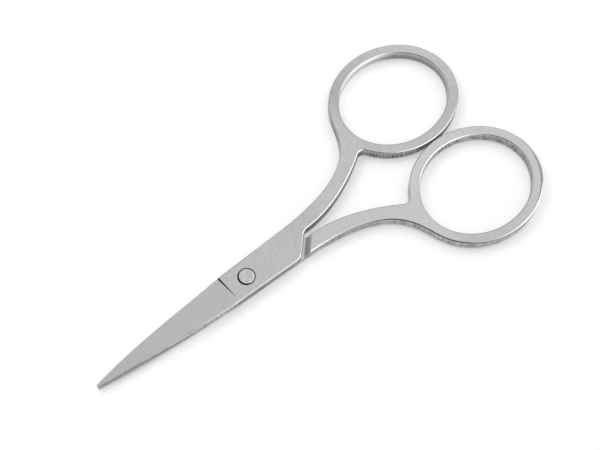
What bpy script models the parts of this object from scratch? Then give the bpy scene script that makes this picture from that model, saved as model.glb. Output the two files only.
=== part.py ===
# Small all-steel scissors: two halves stamped from one outline, half-lapped at a flush rivet.
# The pivot axis is the Z axis, the scissors lie closed along X with the blade tips at -X,
# and the face that rests on the table is at z = 0. All lengths are in metres.

import math

import bmesh
import bpy
from mathutils import Matrix, Vector
from mathutils.geometry import interpolate_bezier

# Overall sizes
BLADE_REACH = 0.0341        # pivot to blade tip
HANDLE_REACH = 0.0614       # pivot to the far end of the finger rings
SHEET_THICKNESS = 0.0024    # thickness of the handles, and of the two lapped blades together
EDGE_ROUND = 0.0003         # rounding of the stamped outline, top and bottom

# Clearances
LAP_GAP = 0.00025           # between the two lapped faces
RIVET_GAP = 0.0002          # all round the rivet
RING_GAP = 0.0003           # between the two rings when the scissors are closed

# Blade
JOINT_WIDTH = 0.0066        # width of a half across the pivot
TIP_RADIUS = 0.0003
TIP_OFFSET = 0.00018        # from the middle line to the middle of the tip, towards the cutting edge
CUTTING_ANGLE = math.radians(11.5)    # between the cutting edge and the middle line, at the tip
SPINE_ANGLE = math.radians(7.5)       # the same for the spine
CUTTING_PULL_SHARES = (0.30, 0.28)    # Bezier pulls of the cutting edge, of the blade's reach
SPINE_PULL_SHARES = (0.33, 0.62)      # the same for the spine
GRIND_DEPTH = 0.00042       # depth of the ground outer face at the cutting edge, by the pivot
GRIND_START = 0.0040        # pivot to the shoulder where the ground face begins
GRIND_LAND = 0.0011         # width left unground by the spine, at that shoulder
GRIND_SKEW = math.radians(5)          # turn of the ground face's upper limit towards the spine
GRIND_END_SKEW = math.radians(4)      # turn of the grinding shoulder from square
GRIND_END_LEAN = math.radians(22)     # lean of the grinding shoulder from upright
BEVEL_LEAN = math.radians(14)         # lean of the cutting edge's bevel from upright
BEVEL_RUN_IN = 0.004        # length over which the bevel grows to its full lean
HOLLOW_DEPTH = 0.00014      # hollow of the inner face
HOLLOW_LAND = 0.0006        # flat land beside the hollow, at its wide end

# Lap shoulder, and the notch that clears the shoulder of the other half
SHOULDER_DISTANCE = 0.0163  # pivot to the shoulder, along the middle line
SHOULDER_ANGLE = math.radians(46)     # between the shoulder and the middle line
RAMP_LENGTH = 0.00115       # the shoulder slopes down over this length
RAMP_FILLET = 0.0007
NOTCH_CLEARANCE = 0.00058   # from the foot of the shoulder to the notch
NOTCH_RADIUS = 0.0022
NOTCH_WIDTH = 0.0073        # width of a half at the notch
CROTCH_GAP = 0.0014         # between the two handles where they part

# Handle and finger ring
FINGER_HOLE_LENGTH = 0.0236
FINGER_HOLE_WIDTH = 0.0203
RING_WALL = 0.0022
THROAT_RADIUS = 0.00135     # fillet between the handle's inner edge and the ring
THROAT_HEADING = math.radians(33.9)   # heading of the inner edge where that fillet begins
THROAT_SHARES = (-1.023, -0.459)      # a point of that edge, in ring half sizes from the ring's centre
INNER_PULL_SHARES = (0.31, 0.32)      # Bezier pulls of the inner edge, of its chord
OUTER_PULL_SHARES = (0.20, 0.785)     # Bezier pulls of the outer edge, of its chord
OUTER_JOIN = math.radians(160)        # angle round the ring where the outer edge leaves it

# Rivet
RIVET_SHANK_DIAMETER = 0.0020
RIVET_HEAD_DIAMETER = 0.0031
RIVET_HEAD_RIM = 0.00015    # upright rim of the head, above its cone
RIVET_HEAD_DEPTH = 0.0006

# Modelling
OVERRUN = 0.004             # how far cutters reach past what they cut
CHORD_ERROR = 0.000005      # how far a facet may stand off the true curve
ROUND_STEPS = 48            # facets round the rivet
WELD_DISTANCE = 0.000001    # points closer than this are made one

LAP_FACE = SHEET_THICKNESS / 2 + LAP_GAP / 2
RING_SEMI_X = FINGER_HOLE_LENGTH / 2 + RING_WALL
RING_SEMI_Y = FINGER_HOLE_WIDTH / 2 + RING_WALL
TIP_CENTRE = Vector((TIP_RADIUS - BLADE_REACH, TIP_OFFSET))
RING_CENTRE = Vector((HANDLE_REACH - RING_SEMI_X, RING_SEMI_Y + RING_GAP / 2))
NOTCH_DISTANCE = SHOULDER_DISTANCE - (RAMP_LENGTH + NOTCH_CLEARANCE) / math.sin(SHOULDER_ANGLE)
FLARE = math.atan2(NOTCH_WIDTH - JOINT_WIDTH, 2 * NOTCH_DISTANCE)

for old in list(bpy.data.objects):
    bpy.data.objects.remove(old, do_unlink=True)

parts = bpy.data.collections.new("scissors")
cutters = bpy.data.collections.new("cutters")
bpy.context.scene.collection.children.link(parts)
bpy.context.scene.collection.children.link(cutters)


# An outline is a list of Bezier runs, each of four points, joined end to end.

def heading_vector(heading):
    return Vector((math.cos(heading), math.sin(heading)))


def straight(start, end):
    return [start, start, end, end]


def bend(start, start_heading, start_pull, end, end_heading, end_pull):
    """A curved run between two points, with its headings and pulls there."""
    return [start, start + heading_vector(start_heading) * start_pull,
            end - heading_vector(end_heading) * end_pull, end]


def ring_point(centre, semi_x, semi_y, angle):
    return centre + Vector((semi_x * math.cos(angle), semi_y * math.sin(angle)))


def ring_heading(semi_x, semi_y, angle):
    return math.atan2(semi_y * math.cos(angle), -semi_x * math.sin(angle))


def arc(centre, semi_x, semi_y, start, end):
    """An anticlockwise elliptic arc, in runs of a quarter turn at most."""
    count = math.ceil((end - start) / math.radians(90.1))
    step = (end - start) / count
    pull = 4 / 3 * math.tan(step / 4)
    runs = []
    for index in range(count):
        here = start + index * step
        there = here + step
        start_pull = Vector((-semi_x * math.sin(here), semi_y * math.cos(here))) * pull
        end_pull = Vector((-semi_x * math.sin(there), semi_y * math.cos(there))) * pull
        start_point = ring_point(centre, semi_x, semi_y, here)
        end_point = ring_point(centre, semi_x, semi_y, there)
        runs.append([start_point, start_point + start_pull, end_point - end_pull, end_point])
    return runs


def cross_lines(point_a, heading_a, point_b, heading_b):
    """The point where two lines in the plane meet."""
    along = heading_vector(heading_a)
    across = heading_vector(heading_b + math.pi / 2)
    return point_a + along * (point_b - point_a).dot(across) / along.dot(across)


def rounded_corner(corner, heading_in, heading_out, radius):
    """The run that rounds the corner between two straight headings."""
    turn = abs(heading_out - heading_in)
    reach = radius * math.tan(turn / 2)
    pull = 4 / 3 * math.tan(turn / 4) * radius
    return bend(corner - heading_vector(heading_in) * reach, heading_in, pull,
                corner + heading_vector(heading_out) * reach, heading_out, pull)


def throat():
    """The fillet from the handle's inner edge to the ring, and the ring angle where it ends."""
    edge_shares = Vector(THROAT_SHARES)
    edge_point = RING_CENTRE + edge_shares * Vector((RING_SEMI_X, RING_SEMI_Y))
    edge_step = Vector((math.cos(THROAT_HEADING) / RING_SEMI_X, math.sin(THROAT_HEADING) / RING_SEMI_Y))
    half_b = edge_shares.dot(edge_step)
    root = math.sqrt(half_b ** 2 - edge_step.length_squared * (edge_shares.length_squared - 1))
    crossing = edge_shares - edge_step * (half_b + root) / edge_step.length_squared

    low = math.atan2(crossing.y, crossing.x) + 2 * math.pi
    high = math.radians(270)
    for _ in range(40):
        angle = (low + high) / 2
        end = ring_point(RING_CENTRE, RING_SEMI_X, RING_SEMI_Y, angle)
        heading = ring_heading(RING_SEMI_X, RING_SEMI_Y, angle)
        corner = cross_lines(edge_point, THROAT_HEADING, end, heading)
        if (end - corner).length < THROAT_RADIUS * math.tan((THROAT_HEADING - heading) / 2):
            low = angle
        else:
            high = angle
    return rounded_corner(corner, THROAT_HEADING, heading, THROAT_RADIUS), angle


def blade_edge(side):
    """The run of one blade edge from the pivot to the tip: side 1 is the cutting edge, -1 the spine."""
    tip_angle, pull_shares = ((CUTTING_ANGLE, CUTTING_PULL_SHARES) if side == 1
                              else (SPINE_ANGLE, SPINE_PULL_SHARES))
    root = Vector((0, side * JOINT_WIDTH / 2))
    tip_end = ring_point(TIP_CENTRE, TIP_RADIUS, TIP_RADIUS, side * (math.pi / 2 + tip_angle))
    root_pull, tip_pull = (share * BLADE_REACH for share in pull_shares)
    return bend(root, math.pi + side * FLARE, root_pull, tip_end, math.pi + side * tip_angle, tip_pull)


def outline():
    """Outline of one half seen from its outer face, anticlockwise from the tip."""
    tip = arc(TIP_CENTRE, TIP_RADIUS, TIP_RADIUS, math.pi / 2 + CUTTING_ANGLE, 1.5 * math.pi - SPINE_ANGLE)

    notch_point = Vector((NOTCH_DISTANCE, 0))
    spine = blade_edge(-1)[::-1]
    outer_corner = cross_lines(spine[-1], -FLARE, notch_point, SHOULDER_ANGLE)
    inner_corner = cross_lines(Vector((0, CROTCH_GAP / 2)), 0, notch_point, SHOULDER_ANGLE)
    notch_outer = rounded_corner(outer_corner, -FLARE, SHOULDER_ANGLE, NOTCH_RADIUS)
    notch_inner = rounded_corner(inner_corner, SHOULDER_ANGLE, 0, NOTCH_RADIUS)

    throat_fillet, ring_start = throat()
    inner_chord = (throat_fillet[0] - notch_inner[-1]).length
    inner_edge = bend(notch_inner[-1], 0, INNER_PULL_SHARES[0] * inner_chord,
                      throat_fillet[0], THROAT_HEADING, INNER_PULL_SHARES[1] * inner_chord)
    ring = arc(RING_CENTRE, RING_SEMI_X, RING_SEMI_Y, ring_start, OUTER_JOIN + 2 * math.pi)

    cutting_edge = blade_edge(1)
    flare_end = Vector((outer_corner.x, -outer_corner.y))
    outer_chord = (flare_end - ring[-1][-1]).length
    outer_edge = bend(ring[-1][-1], ring_heading(RING_SEMI_X, RING_SEMI_Y, OUTER_JOIN),
                      OUTER_PULL_SHARES[0] * outer_chord,
                      flare_end, math.pi + FLARE, OUTER_PULL_SHARES[1] * outer_chord)

    return (tip + [spine, straight(spine[-1], notch_outer[0]), notch_outer,
                   straight(notch_outer[-1], notch_inner[0]), notch_inner,
                   inner_edge, throat_fillet] + ring
            + [outer_edge, straight(flare_end, cutting_edge[0]), cutting_edge])


def sample_run(run):
    """Points along a run, as many as keep its facets within the chord error."""
    legs = [b - a for a, b in zip(run, run[1:]) if (b - a).length > 0]
    length = sum(leg.length for leg in legs)
    turn = sum(abs(a.angle_signed(b)) for a, b in zip(legs, legs[1:]))
    steps = max(1, math.ceil(math.sqrt(length * turn / (8 * CHORD_ERROR))))
    return interpolate_bezier(*run, steps + 1)


def flat_mesh(name, loops, thickness, rounding=0):
    """Mesh of a flat piece on z = 0: closed loops of points, filled and extruded upwards."""
    curve = bpy.data.curves.new(name, "CURVE")
    curve.dimensions = "2D"
    curve.fill_mode = "BOTH"
    curve.extrude = thickness / 2 - rounding
    curve.bevel_depth = rounding
    curve.bevel_resolution = 1
    curve.offset = -rounding
    for points in loops:
        spline = curve.splines.new("POLY")
        spline.points.add(len(points) - 1)
        spline.use_cyclic_u = True
        for target, point in zip(spline.points, points):
            target.co = (point[0], point[1], 0, 1)
    drawn = bpy.data.objects.new(name, curve)
    drawn.location.z = thickness / 2
    bpy.context.scene.collection.objects.link(drawn)
    depsgraph = bpy.context.evaluated_depsgraph_get()
    mesh = bpy.data.meshes.new_from_object(drawn.evaluated_get(depsgraph))
    mesh.transform(drawn.matrix_world)
    bpy.data.objects.remove(drawn, do_unlink=True)
    shaped = bmesh.new()
    shaped.from_mesh(mesh)
    bmesh.ops.remove_doubles(shaped, verts=shaped.verts, dist=WELD_DISTANCE)
    bmesh.ops.recalc_face_normals(shaped, faces=shaped.faces)
    shaped.to_mesh(mesh)
    shaped.free()
    return mesh


def loop_of(runs):
    return [point for run in runs for point in sample_run(run)[:-1]]


def add_cutter(name, mesh, matrix):
    cutter = bpy.data.objects.new(name, mesh)
    cutter.matrix_world = matrix
    cutter.hide_render = True
    cutter.display_type = "WIRE"
    cutters.objects.link(cutter)
    return cutter


def profile_prism(name, corners, width):
    """Prism of a profile drawn in X and Z, centred on Y."""
    mesh = flat_mesh(name, [corners], width)
    mesh.transform(Matrix.Translation((0, width / 2, 0)) @ Matrix.Rotation(math.pi / 2, 4, "X"))
    return mesh


def lap_cutter():
    """Takes the inner half of the thickness away, up to a sloped shoulder with a filleted foot."""
    slope = math.atan2(LAP_FACE, RAMP_LENGTH)
    fillet_centre = Vector((-RAMP_LENGTH - RAMP_FILLET * math.tan(slope / 2), LAP_FACE - RAMP_FILLET))
    fillet = arc(fillet_centre, RAMP_FILLET, RAMP_FILLET, math.pi / 2 - slope, math.pi / 2)[0]
    reach = SHOULDER_DISTANCE + BLADE_REACH + OVERRUN
    corners = [(-reach, -OVERRUN), (OVERRUN / math.tan(slope), -OVERRUN)]
    corners += sample_run(fillet) + [(-reach, LAP_FACE)]
    prism = profile_prism("lap_cutter", corners, 2 * reach)
    place = (Matrix.Translation((SHOULDER_DISTANCE, 0, 0))
             @ Matrix.Rotation(math.pi / 2 - SHOULDER_ANGLE, 4, "Z"))
    return add_cutter("lap_cutter", prism, place)


def grind_cutter():
    """Grinds the outer face of the blade to a wedge that starts at a leaning shoulder."""
    fade = Vector((-GRIND_START, GRIND_LAND - JOINT_WIDTH / 2, SHEET_THICKNESS))
    tilt = math.atan2(GRIND_DEPTH, JOINT_WIDTH - GRIND_LAND)
    reach = BLADE_REACH + OVERRUN
    corners = [(0, 0), (OVERRUN * math.tan(GRIND_END_LEAN), OVERRUN), (-reach, OVERRUN), (-reach, 0)]
    prism = profile_prism("grind_cutter", corners, 2 * reach)
    skew = Matrix.Identity(4)
    skew[0][1] = math.tan(GRIND_SKEW - GRIND_END_SKEW)
    place = (Matrix.Translation(fade) @ Matrix.Rotation(GRIND_SKEW, 4, "Z")
             @ Matrix.Rotation(-tilt, 4, "X") @ skew)
    return add_cutter("grind_cutter", prism, place)


def bevel_cutter():
    """Leans the cutting edge's wall inwards from the lap face up, along the curved edge."""
    edge = [point for point in sample_run(blade_edge(1)) if point.x < -GRIND_START]
    edge.append(edge[-1] + (edge[-1] - edge[-2]).normalized() * 2 * TIP_RADIUS)
    low, high = LAP_FACE - LAP_GAP, SHEET_THICKNESS + LAP_GAP
    shaped = bmesh.new()
    sections = []
    for index, point in enumerate(edge):
        ahead = edge[min(index + 1, len(edge) - 1)] - edge[max(index - 1, 0)]
        outward = Vector((ahead.y, -ahead.x)).normalized()
        grown_share = min(1, (edge[0] - point).length / BEVEL_RUN_IN)
        slope = math.tan(BEVEL_LEAN) * grown_share
        corners = [((LAP_FACE - low) * slope, low), ((LAP_FACE - high) * slope, high),
                   (OVERRUN, high), (OVERRUN, low)]
        places = [(point + outward * offset).to_3d() + Vector((0, 0, level)) for offset, level in corners]
        sections.append([shaped.verts.new(place) for place in places])
    for near, far in zip(sections, sections[1:]):
        for k in range(4):
            shaped.faces.new((near[k], near[k - 1], far[k - 1], far[k]))
    shaped.faces.new(sections[0])
    shaped.faces.new(sections[-1][::-1])
    bmesh.ops.recalc_face_normals(shaped, faces=shaped.faces)
    mesh = bpy.data.meshes.new("bevel_cutter")
    shaped.to_mesh(mesh)
    shaped.free()
    return add_cutter("bevel_cutter", mesh, Matrix.Identity(4))


def hollow_cutter():
    """Long shallow hollow of the inner face, so that the blades meet only along their edges."""
    half_length = (BLADE_REACH - GRIND_START) / 2
    root_width = JOINT_WIDTH / 2 - HOLLOW_LAND
    shaped = bmesh.new()
    bmesh.ops.create_uvsphere(shaped, u_segments=32, v_segments=32, radius=1)
    bmesh.ops.rotate(shaped, verts=shaped.verts, matrix=Matrix.Rotation(math.pi / 2, 3, "Y"))
    for vertex in shaped.verts:
        root_share = (1 + vertex.co.x) / 2
        vertex.co.y *= root_width * root_share + TIP_RADIUS / 2 * (1 - root_share)
    bmesh.ops.scale(shaped, verts=shaped.verts, vec=(half_length, 1, HOLLOW_DEPTH))
    mesh = bpy.data.meshes.new("hollow_cutter")
    shaped.to_mesh(mesh)
    shaped.free()
    return add_cutter("hollow_cutter", mesh, Matrix.Translation((-GRIND_START - half_length, 0, LAP_FACE)))


def turned_mesh(name, profile):
    """Solid of revolution about Z from a profile of (radius, height), listed from top to bottom."""
    line = bpy.data.meshes.new(name)
    points = [(radius, 0, height) for radius, height in profile]
    line.from_pydata(points, [(k, k + 1) for k in range(len(points) - 1)], [])
    turned = bpy.data.objects.new(name, line)
    bpy.context.scene.collection.objects.link(turned)
    screw = turned.modifiers.new("Turn", "SCREW")
    screw.steps = ROUND_STEPS
    screw.render_steps = ROUND_STEPS
    screw.use_merge_vertices = True
    screw.merge_threshold = WELD_DISTANCE
    depsgraph = bpy.context.evaluated_depsgraph_get()
    solid = bpy.data.meshes.new_from_object(turned.evaluated_get(depsgraph))
    bpy.data.objects.remove(turned, do_unlink=True)
    return solid


def head_profile(clearance):
    """The outside of the rivet's upper head, from the foot of its rim to the foot of its cone."""
    return [(RIVET_HEAD_DIAMETER / 2 + clearance, SHEET_THICKNESS - RIVET_HEAD_RIM),
            (RIVET_SHANK_DIAMETER / 2 + clearance, SHEET_THICKNESS - RIVET_HEAD_DEPTH)]


def bore_cutter():
    """Countersunk hole for the rivet, wider than the rivet all round."""
    rim, shank = head_profile(RIVET_GAP)
    top = SHEET_THICKNESS + OVERRUN
    profile = [(0, top), (rim[0], top), rim, shank, (shank[0], -OVERRUN), (0, -OVERRUN)]
    return add_cutter("bore_cutter", turned_mesh("bore_cutter", profile), Matrix.Identity(4))


def make_half(name):
    """One half, with its outer face up and its lap face down."""
    hole = arc(RING_CENTRE, FINGER_HOLE_LENGTH / 2, FINGER_HOLE_WIDTH / 2, 0, 2 * math.pi)
    blank = flat_mesh(name, [loop_of(outline()), loop_of(hole)], SHEET_THICKNESS, EDGE_ROUND)
    half = bpy.data.objects.new(name, blank)
    parts.objects.link(half)
    for cutter in (lap_cutter(), grind_cutter(), bevel_cutter(), hollow_cutter(), bore_cutter()):
        cut = half.modifiers.new(cutter.name, "BOOLEAN")
        cut.operation = "DIFFERENCE"
        cut.solver = "EXACT"
        cut.object = cutter
    return half


def turned_over(half, name):
    """The same stamping, turned over about the long axis."""
    depsgraph = bpy.context.evaluated_depsgraph_get()
    mesh = bpy.data.meshes.new_from_object(half.evaluated_get(depsgraph))
    copy = bpy.data.objects.new(name, mesh)
    copy.rotation_euler.x = math.pi
    copy.location.z = SHEET_THICKNESS
    parts.objects.link(copy)
    return copy


def make_rivet(name):
    """Rivet with a flush countersunk head at each end."""
    upper = [(0, SHEET_THICKNESS), (RIVET_HEAD_DIAMETER / 2, SHEET_THICKNESS)] + head_profile(0)
    lower = [(radius, SHEET_THICKNESS - height) for radius, height in reversed(upper)]
    rivet = bpy.data.objects.new(name, turned_mesh(name, upper + lower))
    parts.objects.link(rivet)
    return rivet


def finish(piece, grey, roughness):
    """Bare steel of one grey, shaded smooth between its sharp edges."""
    material = bpy.data.materials.new(piece.name + "_steel")
    material.use_nodes = True
    shader = material.node_tree.nodes["Principled BSDF"]
    shader.inputs["Base Color"].default_value = (grey, grey, grey, 1)
    shader.inputs["Metallic"].default_value = 1
    shader.inputs["Roughness"].default_value = roughness
    piece.data.materials.clear()
    piece.data.materials.append(material)
    piece.data.shade_smooth()
    piece.data.set_sharp_from_angle(angle=math.radians(20))


front_half = make_half("front_half")
back_half = turned_over(front_half, "back_half")
pivot_rivet = make_rivet("pivot_rivet")
finish(front_half, 0.50, 0.34)
finish(back_half, 0.54, 0.34)
finish(pivot_rivet, 0.56, 0.28)
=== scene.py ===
# %% [markdown]
# # Small all-steel scissors, dressed for the camera
#
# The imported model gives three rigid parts: two stamped halves and the rivet that joins them.
# This lesson puts a real finish on each of them, lights them as on a photographer's table,
# and keeps every part moving with the body that carries it. Things are placed in metres, and
# the finishes are worked out in millimetres.

# %% Load the fixed frame
import math
from collections import namedtuple

import bmesh
import bpy
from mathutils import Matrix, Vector


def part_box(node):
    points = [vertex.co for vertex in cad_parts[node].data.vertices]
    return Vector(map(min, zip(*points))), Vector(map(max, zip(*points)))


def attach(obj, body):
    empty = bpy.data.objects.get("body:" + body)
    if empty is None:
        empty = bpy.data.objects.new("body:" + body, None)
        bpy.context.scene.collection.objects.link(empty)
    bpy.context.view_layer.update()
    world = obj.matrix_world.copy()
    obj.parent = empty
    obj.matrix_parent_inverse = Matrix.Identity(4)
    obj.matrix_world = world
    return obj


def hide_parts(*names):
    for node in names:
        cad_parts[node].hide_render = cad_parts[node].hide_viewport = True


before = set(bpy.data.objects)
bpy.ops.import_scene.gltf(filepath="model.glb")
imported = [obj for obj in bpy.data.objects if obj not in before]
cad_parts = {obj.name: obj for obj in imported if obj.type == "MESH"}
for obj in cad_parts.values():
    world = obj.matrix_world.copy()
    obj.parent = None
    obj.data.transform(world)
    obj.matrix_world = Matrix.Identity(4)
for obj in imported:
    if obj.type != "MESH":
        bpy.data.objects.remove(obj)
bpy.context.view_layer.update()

# %% [markdown]
# ## The camera
#
# A product photographer stands over the table and looks down steeply, with a longish lens.
# The view is set by four plain measures: the point aimed at, the heading of the view in the
# plane of the table, the angle down from the horizon, and the distance. The lamps are hung
# from the same point, so that they keep their places in the picture.

# %% Place the camera
AIM = Vector((0.01457, 0.00204, 0.0024))  # on the upper faces, between the rivet and the rings
VIEW_HEADING = math.radians(51.40)       # from +X, in the plane of the table
LOOK_DOWN = 65.62                        # degrees below the horizon
VIEW_DISTANCE = 0.2030
HALF_VIEW = math.atan(300 / 1050)        # half of the horizontal angle of view
SENSOR_WIDTH = 36                        # in millimetres, as the lens is
NEAREST_SEEN = 0.01

AWAY = Vector((math.cos(VIEW_HEADING), math.sin(VIEW_HEADING), 0))
RIGHT = Vector((AWAY.y, -AWAY.x, 0))
UP = Vector((0, 0, 1))


def from_aim(azimuth, elevation, distance):
    """A point seen from the aim point: azimuth 0 is to the picture's right, -90 towards the camera."""
    azimuth, elevation = math.radians(azimuth), math.radians(elevation)
    level = RIGHT * math.cos(azimuth) + AWAY * math.sin(azimuth)
    return AIM + (level * math.cos(elevation) + UP * math.sin(elevation)) * distance


def look_at_aim(thing):
    """Turns a camera or a lamp so that it faces the aim point."""
    thing.rotation_mode = "QUATERNION"
    thing.rotation_quaternion = (AIM - thing.location).to_track_quat("-Z", "Y")


camera = bpy.data.objects.new("table_camera", bpy.data.cameras.new("table_camera"))
camera.location = from_aim(-90, LOOK_DOWN, VIEW_DISTANCE)
camera.data.sensor_width = SENSOR_WIDTH
camera.data.lens = SENSOR_WIDTH / 2 / math.tan(HALF_VIEW)
camera.data.clip_start = NEAREST_SEEN
look_at_aim(camera)
bpy.context.scene.collection.objects.link(camera)
bpy.context.scene.camera = camera
print("camera at", [round(value, 4) for value in camera.location])
print("lens", round(camera.data.lens, 1), "mm")

# %% [markdown]
# ## Writing shader maths as expressions
#
# A finish is a small sum of masks and noises. Nodes for sums and products are tedious to add
# by hand, so one class wraps a socket and adds the Math node for each operator. Masks come
# from three words: rise, fall and within, which are smooth steps of a measured value.

# %% A class for sockets
class Signal:
    """A number or vector that varies over a surface: the output socket of a node."""

    def __init__(self, finish, socket):
        self.finish = finish
        self.socket = socket

    def math(self, operation, *inputs):
        return self.finish.node("Math", {"operation": operation}, dict(enumerate(inputs)))

    def __add__(self, other):
        return self.math("ADD", self, other)

    __radd__ = __add__

    def __mul__(self, other):
        return self.math("MULTIPLY", self, other)

    __rmul__ = __mul__

    def __sub__(self, other):
        return self.math("SUBTRACT", self, other)

    def __rsub__(self, other):
        return self.math("SUBTRACT", other, self)

    def __truediv__(self, other):
        return self.math("DIVIDE", self, other)

    def __rtruediv__(self, other):
        return self.math("DIVIDE", other, self)

    def __neg__(self):
        return 0 - self

    def __abs__(self):
        return self.math("ABSOLUTE", self)

    def root(self):
        return self.math("SQRT", self)

    def at_least(self, other):
        return self.math("MAXIMUM", self, other)

    def rise(self, low, high):
        """0 below low, 1 above high, and a smooth step between."""
        return self.finish.node("MapRange", {"interpolation_type": "SMOOTHSTEP"},
                                {"Value": self, "From Min": low, "From Max": high})

    def fall(self, low, high):
        """1 below low, 0 above high, and a smooth step between."""
        return 1 - self.rise(low, high)

    def within(self, low, high, edge):
        """1 between low and high, fading to 0 over the edge outside them."""
        return self.rise(low - edge, low) * self.fall(high, high + edge)

    def axis(self, name):
        """One of the three numbers of a vector: X, Y or Z."""
        return self.finish.node("SeparateXYZ", {}, {"Vector": self}, name)


print("sockets can be added, taken away, multiplied and divided")

# %% [markdown]
# ## One method for all other nodes
#
# A node needs three things: its kind, its settings, which can change its sockets and so come
# first, and what its sockets get. With one method for that, a whole material reads as a list
# of what it is made of. Colours and vectors keep their three parts in Mix and Vector Math.

# %% A class for finishes
COLOUR_A, COLOUR_B, COLOUR_RESULT = 6, 7, 2      # the colour sockets of a Mix node


class Finish:
    """A material, or the world, while its nodes are being made."""

    def __init__(self, datablock):
        datablock.use_nodes = True
        self.datablock = datablock
        self.nodes = datablock.node_tree.nodes
        self.links = datablock.node_tree.links
        self.nodes.clear()

    def node(self, kind, settings, sockets, output=0):
        """Adds a node and returns one of its outputs, or nothing where it has none."""
        made = self.nodes.new("ShaderNode" + kind)
        for name, value in settings.items():
            setattr(made, name, value)
        for name, value in sockets.items():
            if isinstance(value, Signal):
                self.links.new(value.socket, made.inputs[name])
            else:
                made.inputs[name].default_value = value
        return Signal(self, made.outputs[output]) if made.outputs else None

    def vector(self, operation, *inputs):
        return self.node("VectorMath", {"operation": operation}, dict(enumerate(inputs)))

    def noise(self, place, scale, detail, roughness):
        """Noise about 0.5, with so many features in each unit of length along the three axes."""
        stretched = self.vector("MULTIPLY", place, scale)
        return self.node("TexNoise", {"noise_dimensions": "3D"},
                         {"Vector": stretched, "Scale": 1, "Detail": detail, "Roughness": roughness})

    def blend(self, factor, lower, upper):
        """The lower colour where the factor is 0, the upper one where it is 1."""
        return self.node("Mix", {"data_type": "RGBA"},
                         {"Factor": factor, COLOUR_A: lower, COLOUR_B: upper}, COLOUR_RESULT)

    def grey(self, value):
        """A colour of three equal parts from one number."""
        return self.node("CombineColor", {"mode": "RGB"}, {"Red": value, "Green": value, "Blue": value})

    def rays(self, *kinds):
        """1 for rays of the named kinds, 0 for all others."""
        first, *others = [self.node("LightPath", {}, {}, kind) for kind in kinds]
        for other in others:
            first = first.at_least(other)
        return first


print("any other node comes from Finish.node")

# %% [markdown]
# ## The table
#
# The scissors lie on a white sheet that is far larger than the picture, so its border never
# shows. Its top lies a hair below the steel, because two surfaces at the same height would
# flicker into each other.

# %% Lay the floor
FLOOR_SIZE = 12
FLOOR_SQUARES = 4                        # along each side of its mesh
FLOOR_DROP = 0.00002

floor_mesh = bpy.data.meshes.new("white_table")
shaped = bmesh.new()
bmesh.ops.create_grid(shaped, x_segments=FLOOR_SQUARES, y_segments=FLOOR_SQUARES, size=FLOOR_SIZE / 2)
shaped.to_mesh(floor_mesh)
shaped.free()
floor = bpy.data.objects.new("white_table", floor_mesh)
floor.location.z = -FLOOR_DROP
bpy.context.scene.collection.objects.link(floor)
print("floor", FLOOR_SIZE, "m square")

# %% [markdown]
# ## White paper
#
# Real white paper is a little grey, and lamps bright enough to make it white would burn out
# the steel. So the paper also glows a little, but only for the eye, for mirrors and for glass:
# it throws no more light on anything matt. The glow is weak enough for the soft shadows to
# stay. Far out, where the lamps don't reach, it is stronger.

# %% Whiten the floor
FLOOR_ALBEDO = 0.86
FLOOR_GLOW = 0.31                        # what eye and steel see of the floor beside its lamplight
FAR_GLOW = 0.25                          # what is added far out, where the lamps don't reach
FAR_OUT = (0.3, 1.6)                     # where that begins and is whole, in metres

paper = Finish(bpy.data.materials.new("white_paper"))
seen = paper.rays("Is Camera Ray", "Is Glossy Ray", "Is Transmission Ray")
matt = paper.node("BsdfDiffuse", {}, {"Color": (FLOOR_ALBEDO,) * 3 + (1,)})
place = paper.node("TexCoord", {}, {}, "Object")
far = paper.node("VectorMath", {"operation": "LENGTH"}, {0: place}, "Value").rise(*FAR_OUT)
glow_shade = paper.grey(seen * (FLOOR_GLOW + FAR_GLOW * far))
glow = paper.node("Emission", {}, {"Color": glow_shade, "Strength": 1})
both = paper.node("AddShader", {}, {0: matt, 1: glow})
paper.node("OutputMaterial", {}, {"Surface": both})
floor_mesh.materials.append(paper.datablock)
print(paper.datablock.name, len(paper.nodes), "nodes")

# %% [markdown]
# ## The lamps
#
# Three soft panels do the work. The overhead softbox hangs a little beyond the scissors, so
# flat steel throws its light towards the camera, and shadows fall on the camera's side. The
# card on the right is only there for the steel: it draws the bright line along the rounded
# rims. The light on the left is only there for the table, whose shadows it evens out.

# %% Hang the lamps


def soft_panel(name, azimuth, elevation, distance, width, height, radiance):
    """A rectangular softbox of an even radiance that faces the aim point."""
    lamp = bpy.data.lights.new(name, "AREA")
    lamp.shape = "RECTANGLE"
    lamp.size, lamp.size_y = width, height
    lamp.energy = radiance * math.pi * width * height
    panel = bpy.data.objects.new(name, lamp)
    panel.location = from_aim(azimuth, elevation, distance)
    look_at_aim(panel)
    bpy.context.scene.collection.objects.link(panel)
    print(name, "gives", round(lamp.energy, 2), "W")
    return panel


soft_panel("overhead_softbox", azimuth=90, elevation=64, distance=0.60,
           width=0.95, height=0.58, radiance=0.97)
edge_card = soft_panel("right_edge_card", azimuth=-16, elevation=44, distance=0.80,
                       width=1.00, height=0.80, radiance=2.1)
edge_card.visible_diffuse = False        # it draws lines on the steel and lights nothing else
table_light = soft_panel("left_table_light", azimuth=160, elevation=48, distance=0.80,
                         width=0.60, height=0.40, radiance=1.5)
table_light.visible_glossy = False       # it lights the table and draws nothing on the steel

# %% [markdown]
# ## The room
#
# The eye sees a white background all round, and steel sees it at the horizon. Higher up the
# room is dimmer and dimmer for the steel. Where steel tilts away from the softbox, it shows
# that dimness as thin dark lines along its rims, and that contrast is what makes metal read
# as metal. Matt surfaces get one even grey from all round.

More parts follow.
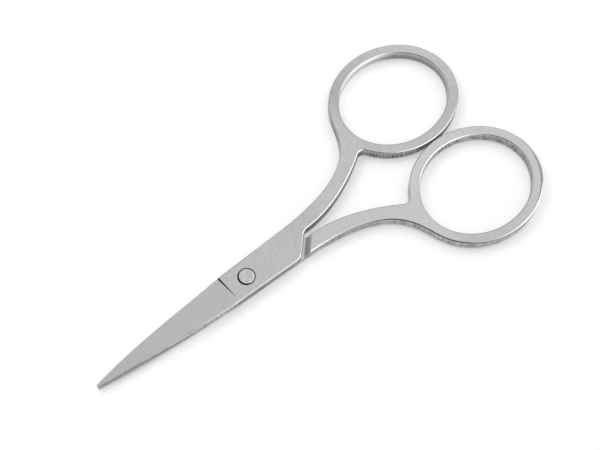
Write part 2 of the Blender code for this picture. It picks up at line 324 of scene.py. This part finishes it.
# %% Paint the room
ROOM_WHITE = 1.0                         # what steel sees at the horizon, as the eye does
ROOM_LOW = 0.42                          # what it sees 20 to 33 degrees above the horizon
ROOM_HIGH = 0.10                         # what it sees from 58 degrees up, beside the softbox
ROOM_LIGHT = 0.45                        # what the room adds to matt surfaces
WHITE_TO_LOW = (0.10, 0.34)              # the sines of the angles between which it dims
LOW_TO_HIGH = (0.55, 0.85)

room = Finish(bpy.data.worlds.new("studio_room"))
bpy.context.scene.world = room.datablock
seen_by_eye = room.rays("Is Camera Ray", "Is Transmission Ray")
seen_by_steel = room.rays("Is Glossy Ray")
height = room.node("TexCoord", {}, {}, "Generated").axis("Z")
dimmed = height.rise(*WHITE_TO_LOW) * (ROOM_WHITE - ROOM_LOW)
dimmed = dimmed + height.rise(*LOW_TO_HIGH) * (ROOM_LOW - ROOM_HIGH)
shown = seen_by_eye + seen_by_steel * (ROOM_WHITE - dimmed)
shown = shown + (1 - seen_by_eye - seen_by_steel) * ROOM_LIGHT
backdrop = room.node("Background", {}, {"Color": room.grey(shown), "Strength": 1})
room.node("OutputWorld", {}, {"Surface": backdrop})
bpy.context.scene.view_settings.view_transform = "Standard"
print(room.datablock.name, len(room.nodes), "nodes")

# %% [markdown]
# ## Sharp and soft edges
#
# Tumbling rounds the outline of the real stamping, and grinding leaves its other corners
# crisp. So the narrow strips of the rounded rim run softly into each other, into the face and
# into the wall. Everywhere else an edge is sharp where its two faces meet at a clear angle.

# %% Sort the edges
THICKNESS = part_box("front_half")[1].z
MIDDLE = THICKNESS / 2
RIM_HEIGHT = 0.0003                      # of the rounded rim, at each face
RIM_TILT = (0.3, 0.95)                   # upright part of the normal there
LEVEL, UPRIGHT = 0.9999, 0.05            # the same on a flat face, at least, and on a wall, at most
SAME_HEIGHT = 0.000001
SHARP_ANGLE = math.radians(24)


def in_rounding(face):
    """Whether a face belongs to the rounded rim of the stamping."""
    from_middle = abs(face.calc_center_median().z - MIDDLE)
    return RIM_TILT[0] < abs(face.normal.z) < RIM_TILT[1] and from_middle > MIDDLE - RIM_HEIGHT


def on_surface(face):
    """Whether a face is part of the upper or lower side of the sheet."""
    from_middle = abs(face.calc_center_median().z - MIDDLE)
    return abs(face.normal.z) > LEVEL and abs(from_middle - MIDDLE) < SAME_HEIGHT


def is_upright(face):
    return abs(face.normal.z) < UPRIGHT


def mark_edges(shaped):
    """Smooths the rim and the curved walls, and keeps every other edge sharp."""
    for face in shaped.faces:
        face.smooth = True
    for edge in shaped.edges:
        if len(edge.link_faces) != 2:
            continue
        a, b = edge.link_faces
        soft = [in_rounding(face) for face in (a, b)]
        if any(soft):
            other = b if soft[0] else a
            edge.smooth = all(soft) or on_surface(other) or is_upright(other)
        else:
            edge.smooth = edge.calc_face_angle(0) < SHARP_ANGLE


print("sheet is", round(THICKNESS * 1000, 2), "mm thick")

# %% [markdown]
# ## The shape of each piece
#
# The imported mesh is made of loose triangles, each with its own flat light. A real stamping
# has clean flat faces and soft rounded edges, so a copy of the mesh is welded and its flat
# triangles are joined into whole faces. The shape is still the model's own. Weighted normals
# then let the large faces lead, so that they look flat right up to the rounding.

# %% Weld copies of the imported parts
WELD = 0.0000002
FLAT_ANGLE = math.radians(0.3)           # triangles that meet at less are one face


def welded_copy(node, name):
    """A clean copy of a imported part, as a piece of its own."""
    mesh = bpy.data.meshes.new(name)
    shaped = bmesh.new()
    shaped.from_mesh(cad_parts[node].data)
    bmesh.ops.remove_doubles(shaped, verts=shaped.verts, dist=WELD)
    bmesh.ops.dissolve_limit(shaped, angle_limit=FLAT_ANGLE, verts=shaped.verts, edges=shaped.edges)
    shaped.normal_update()
    mark_edges(shaped)
    shaped.to_mesh(mesh)
    shaped.free()
    piece = bpy.data.objects.new(name, mesh)
    bpy.context.scene.collection.objects.link(piece)
    print(name, len(mesh.vertices), "points", len(mesh.polygons), "faces")
    return piece


def even_normals(piece):
    """Lets the large flat faces set the direction of the light at their borders."""
    weighted = piece.modifiers.new("even_normals", "WEIGHTED_NORMAL")
    weighted.keep_sharp = True
    weighted.mode = "FACE_AREA"
    weighted.weight = 50


front = welded_copy("front_half", "front_blade_and_ring")
back = welded_copy("back_half", "back_blade_and_ring")
rivet = welded_copy("pivot_rivet", "flush_rivet")
for piece in (front, back, rivet):
    even_normals(piece)

# %% [markdown]
# ## Where a point lies on a half
#
# Both halves are one stamping, and the back one is only turned over. So the finish is worked
# out once, in the stamping's own space: millimetres, with the pivot at the origin, the blade
# towards -X, the cutting edge towards +Y and the outer face up. The way a surface faces tells
# flat faces, rounded rims and upright walls apart. Headings turn from +X towards +Y.

# %% Measure the place and the direction
SHEET = THICKNESS * 1000                 # from here on lengths are in millimetres
BLADE_END = (-5.5, -4.5)                 # where the blade's walls and rims end, along the length
RING_MIDDLE = (47.4, 12.5)
RING_HALF = (14, 12.35)                  # half the length and half the breadth of the finger ring
BAND_HALF = (12.9, 11.25)                # the same for the line half way across its band
ONLY_WALLS = (0.15, 0.45)                # how flat a surface lies, where walls end
ONLY_FACES = (0.93, 0.99)                # and where faces begin; between them are the rims


def along_heading(x, y, degrees):
    """How far a place or a direction reaches along a heading in the plane of the sheet."""
    heading = math.radians(degrees)
    return x * math.cos(heading) + y * math.sin(heading)


class Lay:
    """Place and direction of a surface in the stamping's own space."""

    def __init__(self, finish, turned):
        flip = (1, -1, -1) if turned else (1, 1, 1)
        lift = (0, 0, SHEET) if turned else (0, 0, 0)
        place = finish.node("TexCoord", {}, {}, "Object")
        self.place = finish.vector("MULTIPLY_ADD", place, tuple(1000 * way for way in flip), lift)
        self.x, self.y, self.z = (self.place.axis(name) for name in "XYZ")
        facing = finish.vector("MULTIPLY", finish.node("TexCoord", {}, {}, "Normal"), flip)
        self.facing_x, self.facing_y, self.facing_up = (facing.axis(name) for name in "XYZ")
        self.flatness = abs(self.facing_up)
        self.wall = self.flatness.fall(*ONLY_WALLS)
        self.flat = self.flatness.rise(*ONLY_FACES)
        self.from_pivot = (self.x * self.x + self.y * self.y).root()
        self.ring_x, self.ring_y = self.x - RING_MIDDLE[0], self.y - RING_MIDDLE[1]
        self.outside = self.oval(BAND_HALF).rise(0.9, 1.1)   # 0 on the walls of the finger hole
        self.blade = self.x.fall(*BLADE_END)
        self.is_back_half = 1 if turned else 0         # 1 on the back half, the only one with painted rim light and the dark end line

    def oval(self, half):
        """Squared distance from the ring's middle, which is 1 on an oval of these half sizes."""
        along, across = self.ring_x / half[0], self.ring_y / half[1]
        return along * along + across * across

    def along_ring(self, degrees, low, high):
        """1 on the part of the ring that lies in that heading from its middle, 0 on the rest."""
        radius = (self.ring_x * self.ring_x + self.ring_y * self.ring_y).root()
        return (along_heading(self.ring_x, self.ring_y, degrees) / radius.at_least(1)).rise(low, high)

    def beside_pivot(self, degrees, low, high):
        """1 on the part round the pivot that lies in that heading from it, 0 on the rest."""
        return (along_heading(self.x, self.y, degrees) / self.from_pivot.at_least(0.1)).rise(low, high)

    def turned_to(self, degrees, low, high):
        """1 on walls that face that heading of the stamping, 0 on those turned away from it."""
        return along_heading(self.facing_x, self.facing_y, degrees).rise(low, high)


print("sheet", round(SHEET, 2), "mm, ring", 2 * RING_HALF[0], "by", 2 * RING_HALF[1], "mm")

# %% [markdown]
# ## What a look is
#
# Bare steel has no colour of its own to speak of, so three values tell its look at a point:
# how much light it throws back, how rough it is, and how high its fine relief stands. Held
# together, they let one mask lay a whole look over another, as one tool works over another.

# %% Lay one look over another
Look = namedtuple("Look", "shade rough relief")


def over(lower, mask, upper):
    """The upper look where the mask is 1, and the lower one where it is 0."""
    return Look(*(below + mask * (above - below) for below, above in zip(lower, upper)))


print("a look has", ", ".join(Look._fields))

# %% [markdown]
# ## The flat faces
#
# The faces are satin steel. Brushing leaves short lines along the length and finer hairs
# between them, a barrel finish adds faint clouds and speckle, and use leaves a few long thin
# scratches. The contrast is low: the lines are felt in the highlight rather than seen as
# stripes. Noise that is stretched along the length gives all of them.

# %% Brush the faces
BRUSHING = (0.8, 5.0, 5.0)               # lines in a millimetre along, across and through the sheet
GROUND_END = (-5, -4)                    # where the ground face of the blade ends


def brushed(finish, lay, base):
    lines = finish.noise(lay.place, BRUSHING, 3, 0.6)
    hairs = finish.noise(lay.place, (1.6, 15.0, 15.0), 2, 0.6)
    cloud = finish.noise(lay.place, (0.14, 0.22, 0.22), 2, 0.5)
    mottle = finish.noise(lay.place, (1.1, 1.9, 1.9), 3, 0.65)
    speckle = finish.noise(lay.place, (2.4, 3.2, 3.2), 2, 0.6)
    scratch = finish.noise(lay.place, (0.12, 7.0, 7.0), 1, 0.4).rise(0.71, 0.75)
    coarse = 1 - 0.4 * lay.x.fall(*GROUND_END)   # the ground blade has the finest grain
    grain = 0.34 * (lines - 0.5) + 0.22 * (mottle - 0.5)
    grain = grain + 0.12 * (hairs - 0.5) + 0.30 * (speckle - 0.5)
    shade = base * (1 + coarse * grain + 0.07 * (cloud - 0.5) + 0.05 * scratch)
    rough = 0.34 + 0.09 * (lines - 0.5) + 0.06 * (cloud - 0.5) - 0.05 * scratch
    return Look(shade, rough, 0.80 * lines + 0.60 * hairs + 0.25 * mottle - 0.4 * scratch)


print("brushed lines about", 1 / BRUSHING[0], "mm long and", 1 / BRUSHING[1], "mm apart")

# %% [markdown]
# ## The rims
#
# Tumbling rounds the rims and polishes them brighter than the faces. The polish is patchy
# along the length, with tiny nicks. On top of that, light and shade are painted into the rims:
# the front half's rim highlight is painted dimmer beside the rivet and all rims are set darker
# along the blade, while the back half's rim has painted shade along a long side, a painted
# highlight over a short stretch and a painted dark reflection at its far end. Each is a mask of
# where the rim lies and which way it faces.

# %% Polish the rims
RIM_DIM_LENGTH = (-3, 9)                    # where the rim's highlight is painted dimmer: beside the rivet, along the length
RIM_SHADE_SIDE, RIM_SHADE_FROM = 144, (14, 20)     # painted shade: the heading that it faces, and where it begins
# painted highlight on the rim: the heading that it faces, and where it begins
RIM_HIGHLIGHT_SIDE, RIM_HIGHLIGHT_FROM = 76, (40, 46)
BLACK_END, BLACK_FROM = 13, (44, 48)     # painted dark reflection; this heading is taken from the middle of the ring


def rim_painted_dim(lay):
    """Where the front half's rim highlight is painted dimmer, beside the rivet."""
    return lay.x.within(*RIM_DIM_LENGTH, 2) * (1 - lay.is_back_half)


def rim_painted_shade(lay):
    """Painted shade on the long side of the back half's outer rim."""
    return lay.turned_to(RIM_SHADE_SIDE, 0.29, 0.36) * lay.outside * lay.x.rise(*RIM_SHADE_FROM) * lay.is_back_half


def rim_painted_highlight(lay):
    """Painted highlight on a short stretch of that rim."""
    return lay.turned_to(RIM_HIGHLIGHT_SIDE, 0.26, 0.40) * lay.outside * lay.x.rise(*RIM_HIGHLIGHT_FROM) * lay.is_back_half


def rim_painted_dark_end(lay):
    """Painted dark reflection at the far end of that rim."""
    return lay.along_ring(BLACK_END, 0.88, 0.96) * lay.outside * lay.x.rise(*BLACK_FROM) * lay.is_back_half


def tumbled(finish, lay, base):
    patches = finish.noise(lay.place, (0.5, 0.5, 0.5), 2, 0.5)
    nicks = finish.noise(lay.place, (3.0, 3.0, 3.0), 2, 0.6).rise(0.63, 0.72)
    # painted shade, painted highlight and a painted dark reflection on parts of the rims, over the patchy
    # polish
    shade = base * (1.04 + 0.12 * patches - 0.16 * nicks) * (1 - 0.65 * rim_painted_shade(lay))
    shade = shade * (1 - 0.32 * lay.blade) * (1 - 0.27 * rim_painted_dim(lay))
    shade = shade * (1 + 0.7 * rim_painted_highlight(lay)) * (1 - 0.75 * rim_painted_dark_end(lay))
    rough = 0.15 + 0.07 * patches + 0.10 * nicks + 0.05 * (1 - lay.outside)
    return Look(shade, rough, 0.3 * patches - 0.5 * nicks)


# the dull and bright sides in this print are painted shade and painted highlight
print("back rim dull towards", RIM_SHADE_SIDE, "and bright towards", RIM_HIGHLIGHT_SIDE, "degrees")

# %% [markdown]
# ## The sheared walls
#
# A punch shears the outline. It leaves upright scores, a burnished band near the faces and a
# rougher, darker band where the steel tore through, near half its thickness. Noise that is
# stretched upwards gives the scores, the torn teeth and the bright flecks between them, and
# the height in the sheet says how much of each shows.

# %% Score the walls
TEAR_HEIGHT = 1.05                       # middle of the torn band


def sheared(finish, lay, shade, ragged):
    scores = finish.noise(lay.place, (3.6, 3.6, 0.35), 3, 0.65).rise(0.30, 0.70)
    teeth = finish.noise(lay.place, (6.5, 6.5, 1.0), 2, 0.6).rise(0.53, 0.66)
    flecks = finish.noise(lay.place, (8.0, 8.0, 2.2), 2, 0.6).rise(0.58, 0.70)
    patchy = finish.noise(lay.place, (0.35, 0.35, 0.1), 1, 0.5).rise(0.42, 0.62)
    teeth = teeth * (0.35 + 0.65 * patchy)
    torn = abs(lay.z - TEAR_HEIGHT).fall(0.1, 1.0)
    marks = 0.55 * (scores - 0.5) - (0.45 + 0.35 * torn) * teeth + 0.8 * flecks * (0.3 + 0.7 * torn)
    shade = shade * (1.18 - 0.28 * torn + ragged * marks)
    return Look(shade, 0.30 + 0.14 * torn, ragged * (1.6 * scores - 1.8 * teeth + 1.0 * flecks))


print("torn band about", TEAR_HEIGHT, "mm up the wall")

# %% [markdown]
# ## The cutting edge
#
# The bevelled wall of the cutting edge was honed after stamping. The stone leaves fine upright
# marks across it, lighter than the sheared steel, and a slight burr. Over the last few
# millimetres towards the rivet it is set darker.

# %% Hone the cutting edge
LAP = 1.325                              # height of the lapped face in the stamping's space
DARKER_TOWARD_RIVET = (-15, -9)                      # where the darkening begins and is whole, along the blade


def on_cutting_edge(lay):
    bevel = lay.flatness.within(0.12, 0.30, 0.05)
    return lay.blade * lay.y.rise(0.2, 0.4) * lay.z.rise(LAP - 0.05, LAP) * bevel


def honed(finish, lay):
    marks = finish.noise(lay.place, (9.0, 9.0, 1.2), 2, 0.6)
    burr = finish.noise(lay.place, (3.0, 3.0, 3.0), 2, 0.5)
    shade = (0.40 + 0.66 * marks + 0.26 * burr) * (1 - 0.24 * lay.x.rise(*DARKER_TOWARD_RIVET))
    return Look(shade, 0.44 + 0.12 * marks, 1.2 * marks)


print("honed wall begins", LAP, "mm up")

# %% [markdown]
# ## The inner face
#
# The inner face of the blade is lapped flat and ground slightly hollow. The wheel leaves marks
# across the blade, and the turning of one half on the other rubs arcs round the pivot. Noise
# that is looked up by the distance from the pivot gives the arcs without any drawing.

# %% Rub the lapped face
RUBBED = (3.0, 7.5)                      # distances from the pivot where the arcs fade out


def on_lapped_face(lay):
    return (-lay.facing_up).rise(0.90, 0.95) * lay.z.within(LAP - 0.3, LAP + 0.2, 0.1)


def lapped(finish, lay):
    across = finish.noise(lay.place, (6.0, 0.5, 6.0), 3, 0.6)
    round_pivot = finish.node("CombineXYZ", {}, {"X": lay.from_pivot, "Y": lay.z, "Z": lay.x.rise(-2, 2)})
    arcs = finish.noise(round_pivot, (4.5, 0.2, 1.0), 3, 0.65)
    rubbed = lay.from_pivot.fall(*RUBBED)
    marks = across + rubbed * (arcs - across)
    shade = 0.68 + 0.18 * (marks - 0.5) - 0.10 * arcs.rise(0.56, 0.66) * rubbed
    return Look(shade, 0.50 - 0.20 * rubbed + 0.10 * (marks - 0.5), 0.9 * marks)


print("arcs reach", RUBBED[1], "mm from the pivot")

# %% [markdown]
# ## The shoulder
#
# On its inner side the sheet comes back to its full thickness behind the lap, over a slope
# that a milling cutter leaves. The slope looks down and towards the blade, and shows the
# cutter's steps. Two distances place these marks: one up the slope, and one across it.

# %% Cut the shoulder
RAMP_HEADING = 44
RAMP_RUN = (10.2, 11.75)                 # where the slope begins and ends along that heading
RAMP_PAINTED_LIGHT = (11.1, 11.7)                 # where painted light brightens it


def on_ramp(lay):
    sloping = (-lay.facing_up).within(0.50, 0.80, 0.10)
    return sloping * along_heading(lay.x, lay.y, RAMP_HEADING).within(*RAMP_RUN, 0.1)


def milled(finish, lay):
    along = along_heading(lay.x, lay.y, RAMP_HEADING)
    beside = along_heading(lay.x, lay.y, RAMP_HEADING + 90)
    steps = finish.noise(finish.node("CombineXYZ", {}, {"X": along, "Y": beside}), (4.5, 0.4, 1), 2, 0.6)
    # painted light brightens the slope towards its end
    return Look(0.82 + 0.6 * (steps - 0.5) + 0.16 * along.rise(*RAMP_PAINTED_LIGHT), 0.60, 0.8 * steps)


print("slope", round(RAMP_RUN[1] - RAMP_RUN[0], 2), "mm long at", RAMP_HEADING, "degrees")

# %% [markdown]
# ## Dark lines
#
# Dark colour is painted in three places. Painted shade fills the corner where the ground blade
# meets its shoulder: a wedge that is widest at the cutting edge and runs out before the spine.
# Painted shade also fills the seat of the rivet: a ring, wider on the tip's side. The last is a
# thin dark line inside the back half's rim, at the far end of its ring. Each is measured as a
# distance from its corner.

# %% Paint shade and a dark line into the corners
SPINE_AT = -2.1                          # where the spine runs, across the blade
SHOULDER_AT = -4.02                      # where the shoulder meets the spine, along the length
SHOULDER_SKEW = -0.05                    # how it drifts towards the tip, for each unit across
WEDGE = 0.05                             # how the line widens, for each unit across
RIM_LINE = (0.961, 0.968)                # place of the line inside the rim, as a share of the ring
RIM_LINE_END = 33                        # its heading from the middle of the ring
BORE_RADIUS = 1.75
SHADE_WIDE_SIDE = 194                          # heading where the painted shade round the rivet is widest


# painted shade in the corner where the ground blade meets its shoulder
def shoulder_painted_shade(lay):
    across = lay.y - SPINE_AT
    behind = lay.x - SHOULDER_AT - across * SHOULDER_SKEW
    width = 0.02 + across * WEDGE
    line = behind.fall(0.02, 0.05) * (behind + width).rise(-0.05, 0.03)
    ground_face = lay.facing_up.rise(0.2, 0.5) * (SHEET - lay.z).rise(0.003, 0.02)
    return line * across.rise(-0.3, 0.5) * ground_face


# a thin dark line inside the back half's rim, at the far end of its ring
def end_dark_line(lay):
    line = lay.oval(RING_HALF).root().within(*RIM_LINE, 0.006)
    end = lay.along_ring(RIM_LINE_END, 0.84, 0.99) * lay.z.fall(0.3, 0.6) * lay.is_back_half
    return 0.7 * line * end


def shade_wide_side(lay):
    """The side of the rivet where the painted shade round it is widest."""
    return lay.beside_pivot(SHADE_WIDE_SIDE, -0.194, 0.873)


# painted shade in the seat of the rivet, in the gap round it
def seat_painted_shade(lay):
    bore = lay.from_pivot.fall(BORE_RADIUS - 0.02, BORE_RADIUS + 0.05 * shade_wide_side(lay))
    return bore * (lay.z - SHEET / 2).rise(0.3, 0.5)


print("shoulder at", SHOULDER_AT, "mm, bore", 2 * BORE_RADIUS, "mm wide")

# %% [markdown]
# ## From looks to a material
#
# The looks are laid over each other by where they belong: rims and faces first, then the
# walls, then the three surfaces that were cut after stamping, and the painted shade and dark
# line last. Shade and roughness feed the shader, and the relief feeds one bump.

# %% Put the steel together
# colour and roughness of the painted shade and the dark line
SHADE_AND_LINE_COLOUR = (0.012, 0.011, 0.010, 1)
SHADE_AND_LINE_ROUGH = 0.6
RELIEF = {"Strength": 0.5, "Distance": 0.00002}  # the distance is the height of 1, in metres


def coat(finish, look, shade_and_line):
    """Ends a finish: colour from the shade, with the painted shade and dark line over it, and one bump from
    the relief.
    """
    colour = finish.blend(shade_and_line, finish.grey(look.shade), SHADE_AND_LINE_COLOUR)
    rough = look.rough + shade_and_line * (SHADE_AND_LINE_ROUGH - look.rough)
    bumped = finish.node("Bump", {}, {"Height": look.relief, **RELIEF})
    shader = finish.node("BsdfPrincipled", {}, {
        "Base Color": colour, "Metallic": 1.0, "Roughness": rough, "Normal": bumped})
    finish.node("OutputMaterial", {}, {"Surface": shader})
    print(finish.datablock.name, len(finish.nodes), "nodes")
    return finish.datablock


def half_steel(name, turned, shade_of_face, shade_of_wall, raggedness):
    """Steel of one half: the shades and the raggedness of its walls are functions of the lay."""
    finish = Finish(bpy.data.materials.new(name))
    lay = Lay(finish, turned)
    face_shade = shade_of_face(lay)
    look = over(tumbled(finish, lay, face_shade), lay.flat, brushed(finish, lay, face_shade))
    look = over(look, lay.wall, sheared(finish, lay, shade_of_wall(lay), raggedness(lay)))
    look = over(look, on_cutting_edge(lay), honed(finish, lay))
    look = over(look, on_lapped_face(lay), lapped(finish, lay))
    look = over(look, on_ramp(lay), milled(finish, lay))
    # painted shade at the shoulder and the rivet's seat, and the dark end line
    shade_and_line = shoulder_painted_shade(lay).at_least(seat_painted_shade(lay)).at_least(end_dark_line(lay))
    return coat(finish, look, shade_and_line)


# the roughness of the painted shade and the dark line
print("wax has a roughness of", SHADE_AND_LINE_ROUGH)

# %% [markdown]
# ## The front half
#
# The shade is set to drift a little from tip to ring. The ground blade is darker than the bar
# behind it, and the ring is lighter in two opposite quarters and darker in the other two. The
# wall of the finger hole is painted lighter where it faces -72 degrees, with painted highlight
# bands near both faces of the sheet, and the outer walls along the handle carry painted shade.

# %% Finish the front half
FRONT_SHADE = 0.492                      # of its bar, where a perfect mirror has 1


def front_face(lay):
    along, across = lay.ring_x / RING_HALF[0], lay.ring_y / RING_HALF[1]
    ground = 0.024 * lay.x.fall(*GROUND_END) + 0.014 * lay.x.fall(-33, -22)
    bar = FRONT_SHADE - ground - 0.025 * lay.x.within(13, 17, 4) + 0.010 * lay.x.within(24, 34, 6)
    ring = 0.468 + 0.082 * along * across + 0.024 * along
    return bar + lay.x.rise(34, 38) * (ring - bar)


def front_wall(lay):
    # painted light on walls of the finger hole that face -72 degrees, strongest as highlight bands near
    # both faces
    painted_light = 0.27 + 0.35 * (1 - lay.z.within(0.75, 1.35, 0.4))
    hole = 0.31 + painted_light * lay.turned_to(-72, 0.6, 0.95)
    # painted shade on the outer walls along the handle
    outer = 0.29 - 0.10 * lay.x.within(11, 33, 2)
    return hole + lay.outside * (outer - hole) + 0.21 * lay.blade


def front_raggedness(lay):
    return 0.2 + lay.outside * (1.0 + 0.7 * lay.x.rise(33, 38))


front.data.materials.append(half_steel("front_half_satin", False, front_face, front_wall, front_raggedness))

# %% [markdown]
# ## The back half
#
# Its bar is set a little lighter than the front half's, and its ring fades from one side to the
# other. Its outer walls carry a painted reflection of the bright table, which makes them lighter
# than the front half's, the wall of its finger hole is painted lighter where it faces 74
# degrees, and that wall is more ragged.

# %% Finish the back half
BACK_SHADE = 0.514                       # of its bar


def back_face(lay):
    along, across = lay.ring_x / RING_HALF[0], lay.ring_y / RING_HALF[1]
    ring = 0.492 + 0.036 * along * across - 0.052 * across
    return BACK_SHADE + lay.x.rise(35, 38) * (ring - BACK_SHADE)


def back_wall(lay):
    # painted light on walls of the finger hole that face 74 degrees
    hole = 0.34 + 0.10 * lay.turned_to(74, 0.5, 1.0)
    # painted reflection of the bright table on the outer walls, more along the handle
    outer = 0.43 + 0.03 * lay.x.rise(34, 40)
    return hole + lay.outside * (outer - hole) + 0.20 * lay.blade


def back_raggedness(lay):
    return 1.7 - 0.6 * lay.outside


back.data.materials.append(half_steel("back_half_satin", True, back_face, back_wall, back_raggedness))

# %% [markdown]
# ## The rivet
#
# The rivet was spread in its seat and ground flush with the faces. Its ends show short
# criss-cross marks of the belt, a mottled tone and one painted highlight crescent near the rim.
# The cone below the rim is painted dark as shade in the gap, and painted shade hides where it
# goes into the seat.

# %% Grind the rivet
RIVET_SHADE = 0.505                      # of its two ends
RIVET_RIM = (1.525, 1.57)                # radii between which steel gives way to painted shade
HIGHLIGHT_CRESCENT = (1.38, 1.50)                  # inner and outer radius of the painted highlight crescent
HIGHLIGHT_CRESCENT_SIDE = -50                      # its heading from the pivot


def rivet_steel(name):
    finish = Finish(bpy.data.materials.new(name))
    lay = Lay(finish, False)
    belt = finish.noise(lay.place, (2.2, 9.0, 9.0), 3, 0.6)
    crossed = finish.noise(lay.place, (9.0, 1.8, 9.0), 2, 0.6)
    mottle = finish.noise(lay.place, (1.8, 1.8, 1.8), 3, 0.6)
    highlight_crescent = lay.beside_pivot(HIGHLIGHT_CRESCENT_SIDE, 0.35, 0.80) * lay.from_pivot.within(*HIGHLIGHT_CRESCENT, 0.05)
    shade = 1 + 0.50 * (belt - 0.5) + 0.40 * (crossed - 0.5) + 0.95 * (mottle - 0.5)
    shade = RIVET_SHADE * shade * (1 + 0.45 * highlight_crescent)
    ground = Look(shade, 0.30 + 0.12 * (mottle - 0.5), 0.6 * belt + 0.4 * crossed)
    # the cone is painted dark, as shade in the gap round the rivet
    cone = Look(0.20 + 0.12 * mottle, 0.40 + 0.10 * mottle, 0.4 * mottle)
    # painted shade where the rivet goes into its seat, widest on one side
    near_rim = (lay.from_pivot + 0.13 * shade_wide_side(lay)).rise(*RIVET_RIM)
    shade_and_line = near_rim * abs(lay.z - SHEET / 2).rise(0.3, 0.5)
    return coat(finish, over(cone, lay.flat, ground), shade_and_line)


rivet.data.materials.append(rivet_steel("rivet_ground_flush"))

# %% [markdown]
# ## Handing the pieces over
#
# Each piece stands for its imported part, which is hidden, and moves with its body. The rivet
# stays with the back half, and the front half turns on it.

# %% Ride and replace
for piece, node, body in ((front, "front_half", "front"), (back, "back_half", "back"),
                          (rivet, "pivot_rivet", "back")):
    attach(piece, body)
    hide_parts(node)
    print(piece.name, "stands for", node, "and rides on", body)
